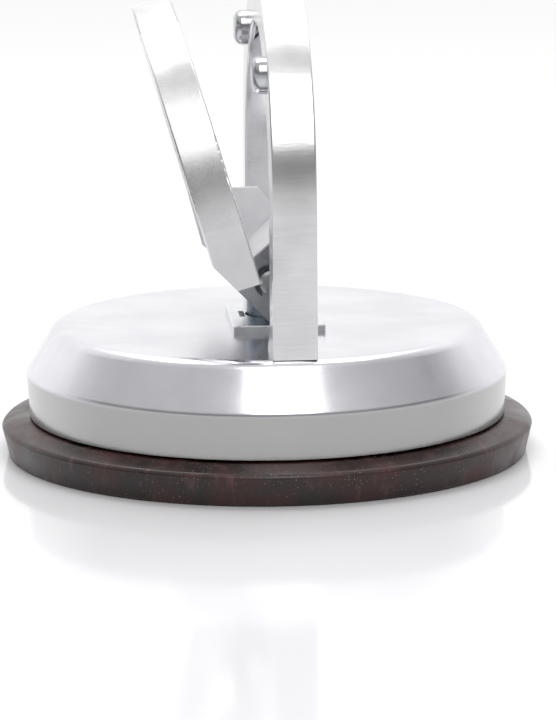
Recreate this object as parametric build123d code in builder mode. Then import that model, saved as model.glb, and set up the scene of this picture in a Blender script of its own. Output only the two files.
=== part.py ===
from build123d import *
import os
from math import cos, radians, sin

# Single vacuum suction cup with a fixed bow handle and a cam lever.
# Millimetres, +Z up. The origin is the centre of the pad's sealing face.
# X runs across the two handles, Y runs along them. The front is -Y.

os.makedirs("parts", exist_ok=True)

# ---------------------------------------------------------------- driving dimensions
pad_radius = 60.0            # rubber pad, at the top edge of its rim
pad_draft = 1.6              # the rim's foot is this much smaller in radius
pad_rim_height = 7.1
pad_crown = 1.3              # the rim's top face rises this much towards the shell
seal_width = 9.0             # flat sealing band round the foot
cavity_depth = 2.4           # dished underside
pad_boss_radius = 19.0
pad_boss_height = 13.0

shell_radius = 54.0          # pressed aluminium cap, outside of its skirt
shell_wall = 1.5
shell_ridge = 18.6           # height of the ridge between skirt and cone
shell_top = 29.0             # height of the flat top
shell_flat_radius = 47.6     # edge of the flat top
shell_hem_gap = 0.5          # the hem stands off the rubber

handle_width = 9.6           # fixed bow: channel pressed from strip
lever_width = 8.8            # lever bow: a narrower channel
handle_wall = 1.3
handle_depth = 9.0           # depth of the channel's flanges
bow_half_span = 46.8         # outside of a bow's legs from the middle
bow_flat = 1.8               # half of the straight stretch over a bow's top
bow_top = 105.0              # outside of the fixed bow
fixed_offset = 2.8           # the fixed bow stands this far to the right

foot_length = 15.0           # tab and flared flanges on the shell
foot_flare = 5.0
foot_rivet_radius = 1.6
foot_rivet_head = 2.7
foot_rivet_places = (5.4, 11.4)

lever_lean = 16.3            # lean of the lever as it rests
lever_offset = 7.1           # middle of the lever from the pivot, square to it
lever_top = 65.1             # outside of the lever's bow above the pivot
lever_foot = 6.3             # ends of its legs above the pivot
lever_chamfer = 6.6
lever_chamfer_in = 3.6

pivot_height = 40.3
pin_radius = 2.6
pin_fit = 0.05               # running clearance of the pin in the eye
pin_end = 1.3                # the pin stands out this far past its clips
clip_radius = 3.7
clip_wall = 0.7
clip_groove = 0.5            # depth of the groove that holds a clip
spacer_radius = 4.4

bar_height = 9.4             # middle of the crossbar above the pivot, along the lever
bar_offset = 6.2             # and square to the lever
bar_width = 4.4
bar_wall = 2.6
arm_margin = 1.3             # metal round the crossbar in the yoke's arms
arm_reach = 3.3              # the arms end this far past the crossbar's middle

cheek_span = 14.0            # outside of each cam cheek from the middle
cheek_wall = 1.6
cheek_tip = (-8.0, -1.2)     # cheek outlines are from the pivot, as the lever rests
cheek_heel = (-0.8, -8.7)
cheek_right = 8.0
cheek_shoulder = 6.0
rear_arm_low = (-13.6, 4.2)
rear_arm_left = (-15.6, 11.6)
rear_top_left = (-17.0, 17.1)
rear_top_right = (-0.8, 17.1)
rear_shoulder = (2.8, 12.2)
bridge_low = (-5.0, 3.9)
bridge_high = (3.0, 11.1)
cam_depth = 9.4              # the cam's low point below the pivot
cam_rate = 3.0               # lift per radian of lever turn
cam_turn = 12.6              # turn from rest to closed
cam_gap = 0.3
bridge_wall = 1.6

wear_length = 30.0           # steel plate under the cam, along Y
wear_width = 20.6
wear_shift = 1.9
wear_wall = pivot_height - cam_depth - cam_gap - shell_top
wear_slot = (1.2, 7.0)
wear_slot_place = -5.6

stud_radius = 4.4
stud_fit = 0.08
eye_radius = 4.4
eye_thickness = 8.0
insert_radius = 16.0
insert_wall = 2.5
insert_cover = 2.0           # rubber under the bonded insert

bump_head_radius = 4.0
bump_head_height = 3.1
bump_shank_radius = 2.2
bump_front_angle = 43.5      # up the front shoulder of the fixed bow
bump_rear_angle = 53.0       # up the rear shoulder

fit_gap = 0.1                # clearance of a bar or a shank in its seat
channel_round = 0.45         # outside edges of the pressed channels
stud_sleeve = 1.6            # the pad's bore clears the stud by this much
seat_drop = 0.4              # the pad's face under the shell is this much lower
boss_draft = 1.5             # the pad's boss narrows by this much
stud_seat = 0.8              # the stud stands this deep in its insert

# ---------------------------------------------------------------- worked-out places
pad_top = pad_rim_height + pad_crown
shell_hem = pad_top + shell_hem_gap
insert_floor = cavity_depth + insert_cover
insert_top = insert_floor + insert_wall
trough_width = handle_width - 2 * handle_wall
lever_trough = lever_width - 2 * handle_wall
bow_radius = bow_half_span - bow_flat
bow_spring = bow_top - bow_radius
lever_spring = lever_top - bow_radius
flange_middle = bow_radius - handle_depth / 2
pivot = Vector(0, 0, pivot_height)
lean = radians(lever_lean)
across = Vector(cos(lean), 0, sin(lean))
lever_side = Plane(origin=pivot, x_dir=(0, 1, 0), z_dir=across)
lever_front = Plane(origin=pivot, x_dir=across, z_dir=(0, -1, 0))
cam_side = Plane(origin=pivot, x_dir=(1, 0, 0), z_dir=(0, -1, 0))


def bow_outline(inset, spring, foot, flare=0.0):
    """Lines of one edge of a bow: up a leg, over the shoulders, down the other leg."""
    side = bow_half_span - inset
    radius = bow_radius - inset
    top = spring + radius
    low = foot + flare
    Line((-side, low), (-side, spring))
    RadiusArc((-side, spring), (-bow_flat, top), radius)
    Line((-bow_flat, top), (bow_flat, top))
    RadiusArc((bow_flat, top), (side, spring), radius)
    Line((side, spring), (side, low))


def both_feet(inset, foot, flare, reach):
    """Lines that close a bow's outline at its two feet, with a flare if it has one."""
    outer = bow_half_span
    inner = outer - inset
    for way in (-1, 1):
        points = [(way * outer, foot), (way * inner, foot)]
        if flare:
            points = [(way * outer, foot), (way * (outer - reach), foot), (way * inner, foot + flare)]
        Polyline(*points)


def make_rivet(place, shank, head, head_height, grip, tail, tail_height):
    """A rivet on a plane whose origin is under its head and whose y points out of it."""
    with BuildPart() as rivet:
        with BuildSketch(place):
            with BuildLine():
                Polyline((0, head_height), (head * 0.5, head_height))
                ThreePointArc(
                    (head * 0.5, head_height),
                    (head * 0.86, head_height * 0.84),
                    (head, head_height * 0.5),
                )
                Polyline((head, head_height * 0.5), (head, 0), (shank, 0), (shank, -grip), (tail, -grip))
                Polyline((tail, -grip), (tail * 0.6, -grip - tail_height), (0, -grip - tail_height))
                Line((0, -grip - tail_height), (0, head_height))
            make_face()
        revolve(axis=Axis(place.origin, place.y_dir))
    return rivet.part


def save(piece, name):
    """Label a finished piece and write it."""
    piece.label = name
    export_step(piece, "parts/" + name + ".step")
    print(name, round(piece.volume, 1))


# ---------------------------------------------------------------- rubber pad
foot_radius = pad_radius - pad_draft
dish_radius = foot_radius - seal_width
with BuildPart() as suction_pad:
    with BuildSketch(Plane.XZ) as pad_section:
        with BuildLine():
            Polyline((0, cavity_depth), (0, insert_floor), (insert_radius, insert_floor))
            Polyline((insert_radius, insert_floor), (insert_radius, insert_top))
            Polyline((insert_radius, insert_top), (stud_radius + stud_sleeve, insert_top))
            Polyline((stud_radius + stud_sleeve, insert_top), (stud_radius + stud_sleeve, pad_boss_height))
            Line(
                (stud_radius + stud_sleeve, pad_boss_height),
                (pad_boss_radius - boss_draft, pad_boss_height),
            )
            Polyline((pad_boss_radius - boss_draft, pad_boss_height), (pad_boss_radius, pad_top - seat_drop))
            Polyline((pad_boss_radius, pad_top - seat_drop), (shell_radius - 4, pad_top - seat_drop))
            Line((shell_radius - 4, pad_top - seat_drop), (shell_radius - 3, pad_top))
            Polyline((shell_radius - 3, pad_top), (shell_radius + 0.6, pad_top))
            Polyline((shell_radius + 0.6, pad_top), (pad_radius, pad_rim_height), (foot_radius, 0))
            Polyline((foot_radius, 0), (dish_radius, 0), (dish_radius - 4, 0.5))
            Line((dish_radius - 4, 0.5), (pad_boss_radius, cavity_depth))
            Line((pad_boss_radius, cavity_depth), (0, cavity_depth))
        make_face()
        fillet(pad_section.vertices().sort_by(Axis.X)[-1], 0.9)
    revolve(axis=Axis.Z)
save(suction_pad.part, "suction_pad")

# ---------------------------------------------------------------- bonded insert and pull stud
with BuildPart() as pad_insert:
    with BuildSketch(Plane.XY.offset(insert_floor)):
        Circle(insert_radius)
    extrude(amount=insert_wall)
    chamfer(pad_insert.edges().filter_by(GeomType.CIRCLE), 0.3)
    with BuildSketch(Plane.XY.offset(insert_floor + stud_seat)):
        Circle(stud_radius)
    extrude(amount=insert_wall, mode=Mode.SUBTRACT)
save(pad_insert.part, "pad_insert")

with BuildPart() as pull_stud:
    with BuildSketch(Plane.XZ.offset(-eye_thickness / 2)):
        with Locations((0, pivot_height)):
            Circle(eye_radius)
    extrude(amount=eye_thickness)
    chamfer(pull_stud.edges().filter_by(GeomType.CIRCLE), 0.8)
    with BuildSketch(Plane.XY.offset(insert_floor + stud_seat)):
        Circle(stud_radius)
    extrude(amount=pivot_height - insert_floor - stud_seat)
    with BuildSketch(Plane.XZ.offset(-eye_thickness)):
        with Locations((0, pivot_height)):
            Circle(pin_radius + pin_fit)
    extrude(amount=2 * eye_thickness, mode=Mode.SUBTRACT)
save(pull_stud.part, "pull_stud")

# ---------------------------------------------------------------- pressed aluminium shell
with BuildPart() as shell:
    with BuildSketch(Plane.XZ):
        with BuildLine() as shell_line:
            FilletPolyline(
                (shell_radius - 0.5, shell_hem),
                (shell_radius, shell_ridge),
                (shell_flat_radius, shell_top),
                (stud_radius + stud_fit, shell_top),
                radius=[2.0, 3.2],
            )
            offset(amount=shell_wall, side=Side.LEFT)
        make_face()
    revolve(axis=Axis.Z)
    foot_ways = [
        (fixed_offset, way * (bow_half_span - place)) for way in (-1, 1) for place in foot_rivet_places
    ]
    with Locations(*[(x, y, shell_top) for x, y in foot_ways]):
        Hole(foot_rivet_radius + fit_gap / 2, depth=3 * shell_wall)
save(shell.part, "shell")

# ---------------------------------------------------------------- wear plate under the cam
with BuildPart() as wear_plate:
    with BuildSketch(Plane.XY.offset(shell_top)) as plate_outline:
        with Locations((wear_shift, 0)):
            RectangleRounded(wear_width, wear_length, 1.2)
        Circle(stud_radius + stud_fit + 0.4, mode=Mode.SUBTRACT)
        with Locations((wear_slot_place, 0)):
            Rectangle(*wear_slot, mode=Mode.SUBTRACT)
    extrude(amount=wear_wall)
    chamfer(wear_plate.faces().sort_by(Axis.Z)[-1].outer_wire().edges(), 0.25)
save(wear_plate.part, "wear_plate")

# ---------------------------------------------------------------- fixed bow handle
fixed_middle = Plane.YZ.offset(fixed_offset)
with BuildPart() as fixed_handle:
    with BuildSketch(fixed_middle):
        with BuildLine():
            bow_outline(0, bow_spring, shell_top)
            bow_outline(handle_depth, bow_spring, shell_top, foot_flare)
            both_feet(handle_depth, shell_top, foot_flare, foot_length)
        make_face()
    extrude(amount=handle_width / 2, both=True)
    side_edges = fixed_handle.edges().filter_by(lambda e: e.length > 20).group_by(Axis.X)
    fillet(side_edges[0] + side_edges[-1], channel_round)
    with BuildSketch(fixed_middle):
        with BuildLine():
            bow_outline(handle_wall, bow_spring, shell_top, handle_wall)
            bow_outline(handle_depth * 2, bow_spring, shell_top, handle_wall)
            for way in (-1, 1):
                Line(
                    (way * (bow_half_span - handle_wall), shell_top + handle_wall),
                    (way * (bow_half_span - 2 * handle_depth), shell_top + handle_wall),
                )
        make_face()
    extrude(amount=trough_width / 2, both=True, mode=Mode.SUBTRACT)
    with Locations(*[(x, y, shell_top + handle_wall) for x, y in foot_ways]):
        Hole(foot_rivet_radius + fit_gap / 2, depth=3 * handle_wall)
    for way, angle in ((-1, bump_front_angle), (1, bump_rear_angle)):
        y = way * (bow_flat + flange_middle * cos(radians(angle)))
        z = bow_spring + flange_middle * sin(radians(angle))
        with BuildSketch(fixed_middle):
            with Locations((y, z)):
                Circle(bump_shank_radius + fit_gap / 2)
        extrude(amount=-handle_width, mode=Mode.SUBTRACT)
save(fixed_handle.part, "fixed_handle")

# ---------------------------------------------------------------- rivets of the fixed bow
foot_names = (
    "foot_rivet_front_outer",
    "foot_rivet_front_inner",
    "foot_rivet_rear_outer",
    "foot_rivet_rear_inner",
)
for name, (x, y) in zip(foot_names, foot_ways):
    place = Plane(origin=(x, y, shell_top + handle_wall), x_dir=(1, 0, 0), z_dir=(0, -1, 0))
    grip = handle_wall + shell_wall
    save(make_rivet(place, foot_rivet_radius, foot_rivet_head, 1.6, grip, foot_rivet_head, 1.2), name)

bump_ways = (("bump_rivet_front", -1, bump_front_angle), ("bump_rivet_rear", 1, bump_rear_angle))
for name, way, angle in bump_ways:
    y = way * (bow_flat + flange_middle * cos(radians(angle)))
    z = bow_spring + flange_middle * sin(radians(angle))
    place = Plane(origin=(fixed_offset - handle_width / 2, y, z), x_dir=(0, 1, 0), z_dir=(0, 0, 1))
    bump_head = (bump_head_radius, bump_head_height)
    save(make_rivet(place, bump_shank_radius, *bump_head, handle_wall, 3.2, 1.3), name)

# ---------------------------------------------------------------- lever bow
lever_middle = lever_side.offset(-lever_offset)
with BuildPart() as lever_handle:
    with BuildSketch(lever_middle):
        with BuildLine():
            bow_outline(0, lever_spring, lever_foot)
            bow_outline(handle_depth, lever_spring, lever_foot)
            both_feet(handle_depth, lever_foot, 0, 0)
        make_face()
    extrude(amount=lever_width / 2, both=True)
    side_edges = lever_handle.edges().filter_by(lambda e: e.length > 20).group_by(Axis(pivot, across))
    fillet(side_edges[0] + side_edges[-1], channel_round)
    with BuildSketch(lever_middle):
        with BuildLine():
            bow_outline(handle_wall, lever_spring, lever_foot - 1)
            bow_outline(handle_depth * 2, lever_spring, lever_foot - 1)
            for way in (-1, 1):
                Line(
                    (way * (bow_half_span - handle_wall), lever_foot - 1),
                    (way * (bow_half_span - 2 * handle_depth), lever_foot - 1),
                )
        make_face()
    extrude(amount=lever_trough / 2, both=True, mode=Mode.SUBTRACT)
    with BuildSketch(lever_front):
        with BuildLine():
            left = -lever_offset - lever_width / 2
            Polyline(
                (left - 1, lever_foot - 1),
                (left - 1, lever_foot + lever_chamfer),
                (left, lever_foot + lever_chamfer),
                (left + lever_chamfer_in, lever_foot),
                (left + lever_chamfer_in, lever_foot - 1),
                (left - 1, lever_foot - 1),
            )
        make_face()
    extrude(amount=bow_half_span + 1, both=True, mode=Mode.SUBTRACT)
save(lever_handle.part, "lever_handle")

# ---------------------------------------------------------------- crossbar between the lever's legs
bar_length = 2 * (bow_half_span - handle_wall)
with BuildPart() as crossbar:
    with BuildSketch(lever_front):
        with Locations((-bar_offset, bar_height)):
            RectangleRounded(bar_width, bar_wall, 0.4)
    extrude(amount=bar_length / 2, both=True)
save(crossbar.part, "crossbar")

# ---------------------------------------------------------------- cam yoke: two cheeks and a bridge
bridge_slope = (bridge_high[1] - bridge_low[1]) / (bridge_high[0] - bridge_low[0])
nose_turn = radians(cam_turn)


def on_lever(out, up):
    """A point of the lever, out square to it and up along it, as places from the pivot."""
    return (out * cos(lean) - up * sin(lean), out * sin(lean) + up * cos(lean))


def nose_point(turn):
    """Where the cam touches the plate after the lever has turned this far."""
    reach = cam_depth + cam_rate * turn
    return (reach * sin(turn) + cam_rate * cos(turn), -reach * cos(turn) + cam_rate * sin(turn))


def cheek_outline(upper):
    """A cheek's outline. Its cam edge is one arc through three points where it meets the plate."""
    ThreePointArc(nose_point(0), nose_point(nose_turn / 2), nose_point(nose_turn))
    Polyline(nose_point(nose_turn), (cheek_right, -cheek_right), (cheek_right, cheek_shoulder))
    Polyline((cheek_right, cheek_shoulder), *upper, cheek_tip, cheek_heel, nose_point(0))


arm_left = -bar_offset - bar_width / 2 - arm_margin
arm_right = -bar_offset + bar_width / 2 + arm_margin
arm_top = bar_height + arm_reach
arm_low = bar_height - arm_reach
front_arm = (on_lever(arm_right, arm_top), on_lever(arm_left, arm_top), on_lever(arm_left, arm_low))
rear_arm = (rear_shoulder, rear_top_right, rear_top_left, rear_arm_left, rear_arm_low)
with BuildPart() as cam_yoke:
    with BuildSketch(cam_side.offset(cheek_span - cheek_wall)) as front_cheek:
        with BuildLine():
            cheek_outline((bridge_high, bridge_low, *front_arm))
        make_face()
        fillet(front_cheek.vertices().sort_by(Axis.X)[-2:], 1.5)
    extrude(amount=cheek_wall)
    with BuildSketch(cam_side.offset(-cheek_span)) as rear_cheek:
        with BuildLine():
            cheek_outline(rear_arm)
        make_face()
        fillet(rear_cheek.vertices().sort_by(Axis.X)[-2:], 1.5)
    extrude(amount=cheek_wall)
    with BuildSketch(cam_side):
        with BuildLine():
            drop = bridge_wall * (1 + bridge_slope**2) ** 0.5
            Polyline(
                bridge_low,
                bridge_high,
                (bridge_high[0], bridge_high[1] - drop),
                (bridge_low[0], bridge_low[1] - drop),
                bridge_low,
            )
        make_face()
    extrude(amount=cheek_span - cheek_wall / 2, both=True)
    with BuildSketch(cam_side):
        Circle(pin_radius + pin_fit)
    extrude(amount=2 * cheek_span, both=True, mode=Mode.SUBTRACT)
    with BuildSketch(lever_front):
        with Locations((-bar_offset, bar_height)):
            RectangleRounded(bar_width + 2 * fit_gap, bar_wall + 2 * fit_gap, 0.4)
    extrude(amount=2 * cheek_span, both=True, mode=Mode.SUBTRACT)
save(cam_yoke.part, "cam_yoke")

# ---------------------------------------------------------------- pivot pin, spacers and clips
clip_near = cheek_span + fit_gap
pin_half = clip_near + clip_wall + pin_end
with BuildPart() as pivot_pin:
    with BuildSketch(cam_side):
        Circle(pin_radius)
    extrude(amount=pin_half, both=True)
    chamfer(pivot_pin.edges().group_by(Axis.Y)[0] + pivot_pin.edges().group_by(Axis.Y)[-1], 0.6)
    for way in (-1, 1):
        with BuildSketch(cam_side.offset(way * (clip_near + clip_wall / 2))):
            Circle(pin_radius + 1)
            Circle(pin_radius - clip_groove, mode=Mode.SUBTRACT)
        extrude(amount=clip_wall / 2, both=True, mode=Mode.SUBTRACT)
save(pivot_pin.part, "pivot_pin")

for name, way in (("pin_spacer_front", 1), ("pin_spacer_rear", -1)):
    near = stud_radius + cam_gap
    far = cheek_span - cheek_wall - fit_gap
    with BuildPart() as spacer:
        with BuildSketch(cam_side.offset(way * (near + far) / 2)):
            Circle(spacer_radius)
            Circle(pin_radius + pin_fit, mode=Mode.SUBTRACT)
        extrude(amount=(far - near) / 2, both=True)
        rims = spacer.edges().filter_by(GeomType.CIRCLE).group_by(SortBy.RADIUS)[-1]
        chamfer(rims, 0.3)
    save(spacer.part, name)

for name, way in (("pin_clip_front", 1), ("pin_clip_rear", -1)):
    with BuildPart() as clip:
        with BuildSketch(cam_side.offset(way * (clip_near + clip_wall / 2))) as clip_face:
            Circle(clip_radius)
            Circle(pin_radius + 0.3, mode=Mode.SUBTRACT)
            with PolarLocations(pin_radius, 3, start_angle=90):
                Rectangle(2 * clip_groove + 0.8, 1.6)
            Circle(pin_radius - clip_groove, mode=Mode.SUBTRACT)
            with Locations((0, -clip_radius)):
                Rectangle(2 * pin_radius - 1.4, 2 * clip_radius - 2 * pin_radius + 2, mode=Mode.SUBTRACT)
        extrude(amount=clip_wall / 2 - 0.05, both=True)
    save(clip.part, name)
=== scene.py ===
import bpy
from math import cos, pi, radians, sin
from mathutils import Matrix, Vector


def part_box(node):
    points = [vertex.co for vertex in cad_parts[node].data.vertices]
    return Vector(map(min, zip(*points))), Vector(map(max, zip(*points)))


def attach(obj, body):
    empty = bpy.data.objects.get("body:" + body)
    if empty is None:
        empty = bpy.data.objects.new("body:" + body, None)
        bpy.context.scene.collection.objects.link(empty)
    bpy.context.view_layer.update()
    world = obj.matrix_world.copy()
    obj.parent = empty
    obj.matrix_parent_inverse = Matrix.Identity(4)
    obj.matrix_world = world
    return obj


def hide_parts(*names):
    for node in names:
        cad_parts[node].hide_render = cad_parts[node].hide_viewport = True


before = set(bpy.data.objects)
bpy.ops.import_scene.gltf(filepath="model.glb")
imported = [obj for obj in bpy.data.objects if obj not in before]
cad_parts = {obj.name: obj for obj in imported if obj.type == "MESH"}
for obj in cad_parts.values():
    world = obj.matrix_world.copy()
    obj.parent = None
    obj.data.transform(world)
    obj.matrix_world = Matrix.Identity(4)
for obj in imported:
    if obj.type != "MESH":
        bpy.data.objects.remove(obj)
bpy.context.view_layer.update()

# Single vacuum suction cup: rubber pad, pressed aluminium shell, fixed bow and cam lever.
# Everything is in metres, in the frame of the model: +Z up, the front is -Y.

MM = 0.001

# ---------------------------------------------------------------- camera
view_distance = 0.787
view_height = radians(12.65)
view_side = radians(4.1)
look_down = radians(11.23)
look_right = radians(0.19)
view_roll = radians(-0.4)
sensor = 36.0
lens = 173.65

eye = Vector((
    -view_distance * cos(view_height) * sin(view_side),
    -view_distance * cos(view_height) * cos(view_side),
    view_distance * sin(view_height),
))
heading = view_side + look_right
forward = Vector((cos(look_down) * sin(heading), cos(look_down) * cos(heading), -sin(look_down)))
camera_data = bpy.data.cameras.new("studio_camera")
camera_data.sensor_width = sensor
camera_data.lens = lens
camera_data.clip_end = 20.0
camera = bpy.data.objects.new("studio_camera", camera_data)
bpy.context.scene.collection.objects.link(camera)
turn = forward.to_track_quat("-Z", "Y").to_matrix() @ Matrix.Rotation(view_roll, 3, "Z")
camera.matrix_world = Matrix.Translation(eye) @ turn.to_4x4()
bpy.context.scene.camera = camera


# ---------------------------------------------------------------- small helpers
def linear(code):
    """An sRGB hex colour as the linear colour a shader takes."""
    levels = [int(code[i:i + 2], 16) / 255 for i in (1, 3, 5)]
    return tuple(v / 12.92 if v <= 0.04045 else ((v + 0.055) / 1.055) ** 2.4 for v in levels) + (1.0,)


def add_node(tree, kind, inputs=None, **settings):
    """Adds one node. Its settings come first, then values or links for its inputs."""
    made = tree.nodes.new(kind)
    for name, value in settings.items():
        setattr(made, name, value)
    for name, value in (inputs or {}).items():
        if isinstance(value, bpy.types.NodeSocket):
            tree.links.new(value, made.inputs[name])
        else:
            made.inputs[name].default_value = value
    return made


def new_material(name):
    """An empty material, its tree and its output node."""
    material = bpy.data.materials.new(name)
    material.use_nodes = True
    tree = material.node_tree
    tree.nodes.clear()
    return material, tree, add_node(tree, "ShaderNodeOutputMaterial")


def set_ramp(ramp, stops):
    """Sets a colour ramp's stops: place and colour."""
    while len(ramp.color_ramp.elements) < len(stops):
        ramp.color_ramp.elements.new(0.5)
    for element, (place, colour) in zip(ramp.color_ramp.elements, stops):
        element.position = place
        element.color = colour


def grey(value):
    return (value, value, value, 1.0)


def wear_material(obj, material):
    """Gives an object one material in place of what it had."""
    obj.data.materials.clear()
    obj.data.materials.append(material)


# ---------------------------------------------------------------- finishes
# Painted shade for the skirt: the grey it fades to, and how far below and above the given height the fade
# runs.
skirt_shade_grey = "#b2b2b1"
shade_fade_low = 0.5
shade_fade_high = 0.3


def make_metal(name, dark, light, rough_low, rough_high, grain, grain_mm, stretch, bump, blotch_mm,
               turn_y=0.0, shade_below=None):
    """Bare metal: two close shades in soft blotches, and a directional grain in gloss and surface.

    Lengths are in mm. Below the height given last, the colour is painted greyer: painted shade for a skirt
    that faces slightly down.
    """
    material, tree, output = new_material(name)
    place = add_node(tree, "ShaderNodeTexCoord").outputs["Object"]
    turned = add_node(tree, "ShaderNodeMapping", {"Vector": place, "Rotation": (0, turn_y, 0)})
    lined = add_node(
        tree, "ShaderNodeMapping", {"Vector": turned.outputs["Vector"], "Scale": stretch}).outputs["Vector"]
    fine = add_node(
        tree, "ShaderNodeTexNoise",
        {"Vector": lined, "Scale": 1 / (grain_mm * MM), "Detail": 5.0, "Roughness": 0.6},
    )
    blotch = add_node(
        tree, "ShaderNodeTexNoise",
        {"Vector": place, "Scale": 1 / (blotch_mm * MM), "Detail": 3.0, "Roughness": 0.55},
    )
    shade = add_node(tree, "ShaderNodeValToRGB", {"Fac": blotch.outputs["Fac"]})
    set_ramp(shade, [(0.35, linear(dark)), (0.65, linear(light))])
    colour = shade.outputs["Color"]
    # Painted shade: below the given height the colour fades to a flat grey.
    if shade_below is not None:
        axes = add_node(tree, "ShaderNodeSeparateXYZ", {"Vector": place})
        skirt_shade = add_node(
            tree, "ShaderNodeMapRange",
            {"Value": axes.outputs["Z"], "From Min": (shade_below - shade_fade_low) * MM,
             "From Max": (shade_below + shade_fade_high) * MM, "To Min": 1.0, "To Max": 0.0},
        )
        colour = add_node(
            tree, "ShaderNodeMix",
            {"Factor": skirt_shade.outputs["Result"], 6: colour, 7: linear(skirt_shade_grey)},
            data_type="RGBA").outputs[2]
    mixed = add_node(
        tree, "ShaderNodeMath",
        {0: fine.outputs["Fac"], 1: grain, 2: blotch.outputs["Fac"]}, operation="MULTIPLY_ADD",
    )
    gloss = add_node(
        tree, "ShaderNodeMapRange",
        {"Value": mixed.outputs["Value"], "From Min": 0.4, "From Max": 0.7 + grain,
         "To Min": rough_low, "To Max": rough_high},
    )
    relief = add_node(
        tree, "ShaderNodeBump",
        {"Strength": 1.0, "Distance": bump * MM, "Height": fine.outputs["Fac"]},
    )
    shader = add_node(
        tree, "ShaderNodeBsdfPrincipled",
        {"Base Color": colour, "Metallic": 1.0,
         "Roughness": gloss.outputs["Result"], "Normal": relief.outputs["Normal"]},
    )
    tree.links.new(shader.outputs["BSDF"], output.inputs["Surface"])
    return material


lever_lean = radians(16.3)

# Pressed aluminium, satin: pale, with a soft even sheen; the skirt is painted greyer, as painted shade.
skirt_top = 18.4
shell_aluminium = make_metal(
    "pressed_aluminium_satin", "#d8d7dd", "#e8e7ec", 0.15, 0.25, 0.4, 0.7, (1, 1, 1), 0.005, 22.0,
    shade_below=skirt_top)
# Bent aluminium strip: the same metal with fine creases square to the strip.
bow_aluminium = make_metal(
    "bent_aluminium_strip", "#dadadb", "#ebebec", 0.17, 0.28, 0.6, 1.3, (0.16, 1, 1.0), 0.022, 16.0)
lever_aluminium = make_metal(
    "bent_aluminium_lever", "#d8d8d9", "#e9e9ea", 0.22, 0.33, 0.6, 1.3, (0.5, 1, 0.7), 0.010, 16.0,
    lever_lean)
# Zinc-plated steel sheet: bright, slightly blue.
zinc_sheet = make_metal(
    "zinc_plated_sheet", "#dadcdf", "#eceef0", 0.16, 0.28, 0.5, 0.9, (1, 1, 1), 0.006, 9.0)
# Blue-passivated zinc on the turned stud.
blue_zinc = make_metal(
    "blue_zinc_stud", "#56606c", "#8d97a4", 0.22, 0.36, 0.5, 0.5, (1, 1, 1), 0.006, 6.0)
# Polished rivet steel.
rivet_steel = make_metal(
    "polished_rivet_steel", "#b4b5b8", "#cfd0d2", 0.14, 0.24, 0.5, 0.4, (1, 1, 1), 0.003, 5.0)
# Spring steel of the clips, painted dark grey: painted shade for the shadow gap round the pin ends.
shaded_clip_steel = make_metal(
    "clip_steel_painted_shade", "#4a4b4f", "#66676b", 0.34, 0.50, 0.5, 0.4, (1, 1, 1), 0.006, 4.0)


def make_rubber():
    """Moulded nitrile rubber, brown-black and satin, with dust and small upright reddish scuffs."""
    cloud_mm = 11
    speck_mm = 0.7
    sprinkle_mm = 5
    scuff_mm = 2.4
    scuff_stretch = 0.22
    grain_mm = 0.35
    relief_mm = 0.02
    material, tree, output = new_material("moulded_nitrile_rubber")
    place = add_node(tree, "ShaderNodeTexCoord").outputs["Object"]
    cloud = add_node(
        tree, "ShaderNodeTexNoise", {"Vector": place, "Scale": 1 / (cloud_mm * MM), "Detail": 4.0})
    base = add_node(tree, "ShaderNodeValToRGB", {"Fac": cloud.outputs["Fac"]})
    set_ramp(base, [(0.36, linear("#180a09")), (0.66, linear("#3c1a17"))])
    speck = add_node(
        tree, "ShaderNodeTexVoronoi", {"Vector": place, "Scale": 1 / (speck_mm * MM)}, feature="F1")
    sprinkle = add_node(
        tree, "ShaderNodeTexNoise", {"Vector": place, "Scale": 1 / (sprinkle_mm * MM), "Detail": 2.0})
    limit = add_node(
        tree, "ShaderNodeMapRange",
        {"Value": sprinkle.outputs["Fac"], "From Min": 0.3, "From Max": 0.8, "To Min": 0.03, "To Max": 0.20},
    )
    dust = add_node(
        tree, "ShaderNodeMath", {0: speck.outputs["Distance"], 1: limit.outputs["Result"]},
        operation="LESS_THAN")
    dusty = add_node(
        tree, "ShaderNodeMix",
        {"Factor": dust.outputs["Value"], 6: base.outputs["Color"], 7: linear("#a08a86")},
        data_type="RGBA")
    long_way = add_node(tree, "ShaderNodeMapping", {"Vector": place, "Scale": (1, 1, scuff_stretch)})
    rubbed = add_node(
        tree, "ShaderNodeTexNoise",
        {"Vector": long_way.outputs["Vector"], "Scale": 1 / (scuff_mm * MM), "Detail": 6.0})
    scuff = add_node(
        tree, "ShaderNodeMapRange",
        {"Value": rubbed.outputs["Fac"], "From Min": 0.56, "From Max": 0.74, "To Min": 0.0, "To Max": 0.45})
    worn = add_node(
        tree, "ShaderNodeMix",
        {"Factor": scuff.outputs["Result"], 6: dusty.outputs[2], 7: linear("#6d4a45")}, data_type="RGBA")
    gloss = add_node(
        tree, "ShaderNodeMapRange",
        {"Value": cloud.outputs["Fac"], "From Min": 0.35, "From Max": 0.65, "To Min": 0.24, "To Max": 0.46},
    )
    grain = add_node(
        tree, "ShaderNodeTexNoise", {"Vector": place, "Scale": 1 / (grain_mm * MM), "Detail": 3.0})
    relief = add_node(
        tree, "ShaderNodeBump",
        {"Strength": 1.0, "Distance": relief_mm * MM, "Height": grain.outputs["Fac"]})
    shader = add_node(
        tree, "ShaderNodeBsdfPrincipled",
        {"Base Color": worn.outputs[2], "Roughness": gloss.outputs["Result"], "IOR": 1.52,
         "Normal": relief.outputs["Normal"]},
    )
    tree.links.new(shader.outputs["BSDF"], output.inputs["Surface"])
    return material


rubber = make_rubber()


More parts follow.
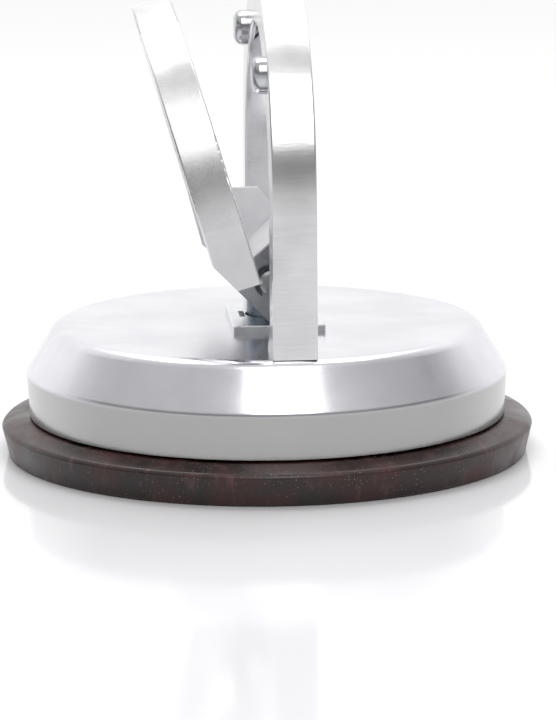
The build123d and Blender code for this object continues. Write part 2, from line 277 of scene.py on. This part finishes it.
def make_yoke_zinc():
    """Zinc-plated yoke: bare metal at the front cheek; the bridge and the rear cheek are painted white and
    matte, as painted light for their bright reflection.
    """
    cloud_mm = 5
    relief_mm = 0.006
    full_painted_light = 0.92
    material, tree, output = new_material("zinc_yoke_painted_white_back")
    place = add_node(tree, "ShaderNodeTexCoord").outputs["Object"]
    axes = add_node(tree, "ShaderNodeSeparateXYZ", {"Vector": place})
    cloud = add_node(
        tree, "ShaderNodeTexNoise", {"Vector": place, "Scale": 1 / (cloud_mm * MM), "Detail": 4.0})
    # Painted light: behind the front cheek the colour fades to white and stops being metal.
    front_cheek_back = -12.3 * MM
    painted_light_fade = 0.8 * MM
    painted_light = add_node(
        tree, "ShaderNodeMapRange",
        {"Value": axes.outputs["Y"], "From Min": front_cheek_back,
         "From Max": front_cheek_back + painted_light_fade, "To Min": 0.0, "To Max": full_painted_light},
    )
    bare = add_node(tree, "ShaderNodeValToRGB", {"Fac": cloud.outputs["Fac"]})
    set_ramp(bare, [(0.35, linear("#8f9094")), (0.65, linear("#a9aaad"))])
    painted_white = add_node(tree, "ShaderNodeValToRGB", {"Fac": cloud.outputs["Fac"]})
    set_ramp(painted_white, [(0.35, linear("#faf8fc")), (0.65, linear("#fefdff"))])
    shade = add_node(
        tree, "ShaderNodeMix",
        {"Factor": painted_light.outputs["Result"], 6: bare.outputs["Color"], 7: painted_white.outputs["Color"]},
        data_type="RGBA")
    unpainted = add_node(
        tree, "ShaderNodeMath", {0: 1.0, 1: painted_light.outputs["Result"]}, operation="SUBTRACT")
    gloss = add_node(
        tree, "ShaderNodeMapRange",
        {"Value": painted_light.outputs["Result"], "To Min": 0.26, "To Max": 0.42})
    relief = add_node(
        tree, "ShaderNodeBump",
        {"Strength": 1.0, "Distance": relief_mm * MM, "Height": cloud.outputs["Fac"]})
    shader = add_node(
        tree, "ShaderNodeBsdfPrincipled",
        {"Base Color": shade.outputs[2], "Metallic": unpainted.outputs["Value"],
         "Roughness": gloss.outputs["Result"], "Normal": relief.outputs["Normal"]},
    )
    tree.links.new(shader.outputs["BSDF"], output.inputs["Surface"])
    return material


yoke_zinc = make_yoke_zinc()


# ---------------------------------------------------------------- rubber pad
weld_mm = 0.002
round_segments = 3


def spin_outline(name, outline, steps, round_mm):
    """A turned solid: an outline of (radius, height) in mm is extruded point by point and spun."""
    bpy.ops.object.select_all(action="DESELECT")
    first = outline[0]
    bpy.ops.mesh.primitive_plane_add(size=MM, location=(0, 0, 0))
    piece = bpy.context.object
    piece.name = name
    bpy.ops.object.mode_set(mode="EDIT")
    bpy.ops.mesh.select_all(action="SELECT")
    bpy.ops.mesh.merge(type="CENTER")
    bpy.ops.mesh.select_mode(type="VERT")
    bpy.ops.mesh.select_all(action="SELECT")
    bpy.ops.transform.translate(value=(first[0] * MM, 0, first[1] * MM))
    for (r0, z0), (r1, z1) in zip(outline, outline[1:]):
        bpy.ops.mesh.extrude_region_move(
            TRANSFORM_OT_translate={"value": ((r1 - r0) * MM, 0, (z1 - z0) * MM)})
    bpy.ops.mesh.select_all(action="SELECT")
    bpy.ops.mesh.spin(steps=steps, angle=2 * pi, center=(0, 0, 0), axis=(0, 0, 1))
    bpy.ops.mesh.select_all(action="SELECT")
    bpy.ops.mesh.remove_doubles(threshold=weld_mm * MM)
    bpy.ops.mesh.normals_make_consistent(inside=False)
    bpy.ops.object.mode_set(mode="OBJECT")
    rounding = piece.modifiers.new("rounded_edges", "BEVEL")
    rounding.width = round_mm * MM
    rounding.segments = round_segments
    rounding.limit_method = "ANGLE"
    rounding.angle_limit = radians(14)
    bpy.ops.object.modifier_apply(modifier=rounding.name)
    bpy.ops.object.shade_smooth_by_angle(angle=radians(35))
    return piece


pad_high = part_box("suction_pad")[1]
rim_round = 0.17             # the rounded rim stops this far short of its corner
pad_radius = pad_high.x / MM + rim_round
pad_boss_top = pad_high.z / MM
rim_height = 7.1
rim_draft = 1.6
crown = 1.3
seal_width = 9.0
dish_height = 2.4
dish_edge = (45.4, 0.6)
boss_radius = 19.0
boss_top_radius = 17.5
well_radius = 6.0            # round the stud
well_floor = 6.2
seat_drop = 0.4              # the face under the shell is this much lower
pad_steps = 180
pad_round = 0.25
pad_outline = [
    (0, dish_height), (18.5, dish_height), dish_edge, (pad_radius - rim_draft - seal_width, 0.0),
    (pad_radius - rim_draft - 0.4, 0.0), (pad_radius - rim_draft, 0.5),
    (pad_radius - 0.2, rim_height - 0.7), (pad_radius - 0.9, rim_height + 0.05),
    (54.8, rim_height + crown), (50.6, rim_height + crown), (49.8, rim_height + crown - seat_drop),
    (boss_radius, rim_height + crown - seat_drop), (boss_top_radius, pad_boss_top),
    (well_radius, pad_boss_top), (well_radius, well_floor), (0, well_floor),
]
pad = spin_outline("rubber_pad", pad_outline, pad_steps, pad_round)
wear_material(pad, rubber)
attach(pad, "base")
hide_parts("suction_pad")

# ---------------------------------------------------------------- finishes of the metal parts
finish_of = {
    "shell": shell_aluminium, "fixed_handle": bow_aluminium, "lever_handle": lever_aluminium,
    "crossbar": lever_aluminium, "cam_yoke": yoke_zinc, "wear_plate": zinc_sheet, "pad_insert": zinc_sheet,
    "pull_stud": blue_zinc, "pivot_pin": rivet_steel, "pin_spacer_front": zinc_sheet,
    "pin_spacer_rear": zinc_sheet, "pin_clip_front": shaded_clip_steel, "pin_clip_rear": shaded_clip_steel,
    "bump_rivet_front": rivet_steel, "bump_rivet_rear": rivet_steel,
}
for node_name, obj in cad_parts.items():
    if node_name != "suction_pad":
        wear_material(obj, finish_of.get(node_name, rivet_steel))

# ---------------------------------------------------------------- floor and light
bpy.ops.object.select_all(action="DESELECT")
floor_gap = 0.03 * MM
floor_size = 6.0
bpy.ops.mesh.primitive_plane_add(size=floor_size, location=(0, 0, -floor_gap))
floor = bpy.context.object
floor.name = "studio_floor"
floor_finish, floor_tree, floor_output = new_material("pale_acrylic_sheet")
floor_shader = add_node(
    floor_tree, "ShaderNodeBsdfPrincipled", {"Base Color": linear("#f1f1f3"), "Roughness": 0.10})
floor_tree.links.new(floor_shader.outputs["BSDF"], floor_output.inputs["Surface"])
wear_material(floor, floor_finish)


def add_light(name, place, aim, width, height, power):
    """A soft box: a white area light that faces a point."""
    lamp = bpy.data.lights.new(name, "AREA")
    lamp.shape = "RECTANGLE"
    lamp.size = width
    lamp.size_y = height
    lamp.energy = power
    obj = bpy.data.objects.new(name, lamp)
    bpy.context.scene.collection.objects.link(obj)
    obj.matrix_world = Matrix.Translation(place) @ (
        (Vector(aim) - Vector(place)).to_track_quat("-Z", "Y").to_matrix().to_4x4())


middle = (0, 0, 0.05)
add_light("top_softbox", Vector((0.0, 0.35, 0.9)), middle, 1.0, 0.6, 4.6)
add_light("front_softbox", Vector((0.06, -0.64, 0.82)), middle, 0.50, 0.64, 2.6)

# The room: white behind the cup, grey in front of it with a darker band above eye height.
bright_wall = grey(1.08)
world = bpy.data.worlds.new("studio_room")
bpy.context.scene.world = world
world.use_nodes = True
room = world.node_tree
room.nodes.clear()
room_place = add_node(room, "ShaderNodeTexCoord").outputs["Generated"]
room_axes = add_node(room, "ShaderNodeSeparateXYZ", {"Vector": room_place})
front_wall = add_node(room, "ShaderNodeValToRGB", {"Fac": room_axes.outputs["Z"]})
set_ramp(front_wall, [
    (0.0, grey(0.75)), (0.12, grey(0.50)), (0.28, grey(0.24)), (0.44, grey(0.24)), (0.56, grey(0.52)),
    (1.0, grey(0.80)),
])
behind = add_node(room, "ShaderNodeMapRange", {
    "Value": room_axes.outputs["Y"], "From Min": 0.05, "From Max": 0.60, "To Min": 0.0, "To Max": 1.0})
tone = add_node(
    room, "ShaderNodeMix",
    {"Factor": behind.outputs["Result"], 6: front_wall.outputs["Color"], 7: bright_wall},
    data_type="RGBA")
room_light = add_node(room, "ShaderNodeBackground", {"Color": tone.outputs[2]})
add_node(room, "ShaderNodeOutputWorld", {"Surface": room_light.outputs["Background"]})

bpy.context.scene.view_settings.view_transform = "Standard"
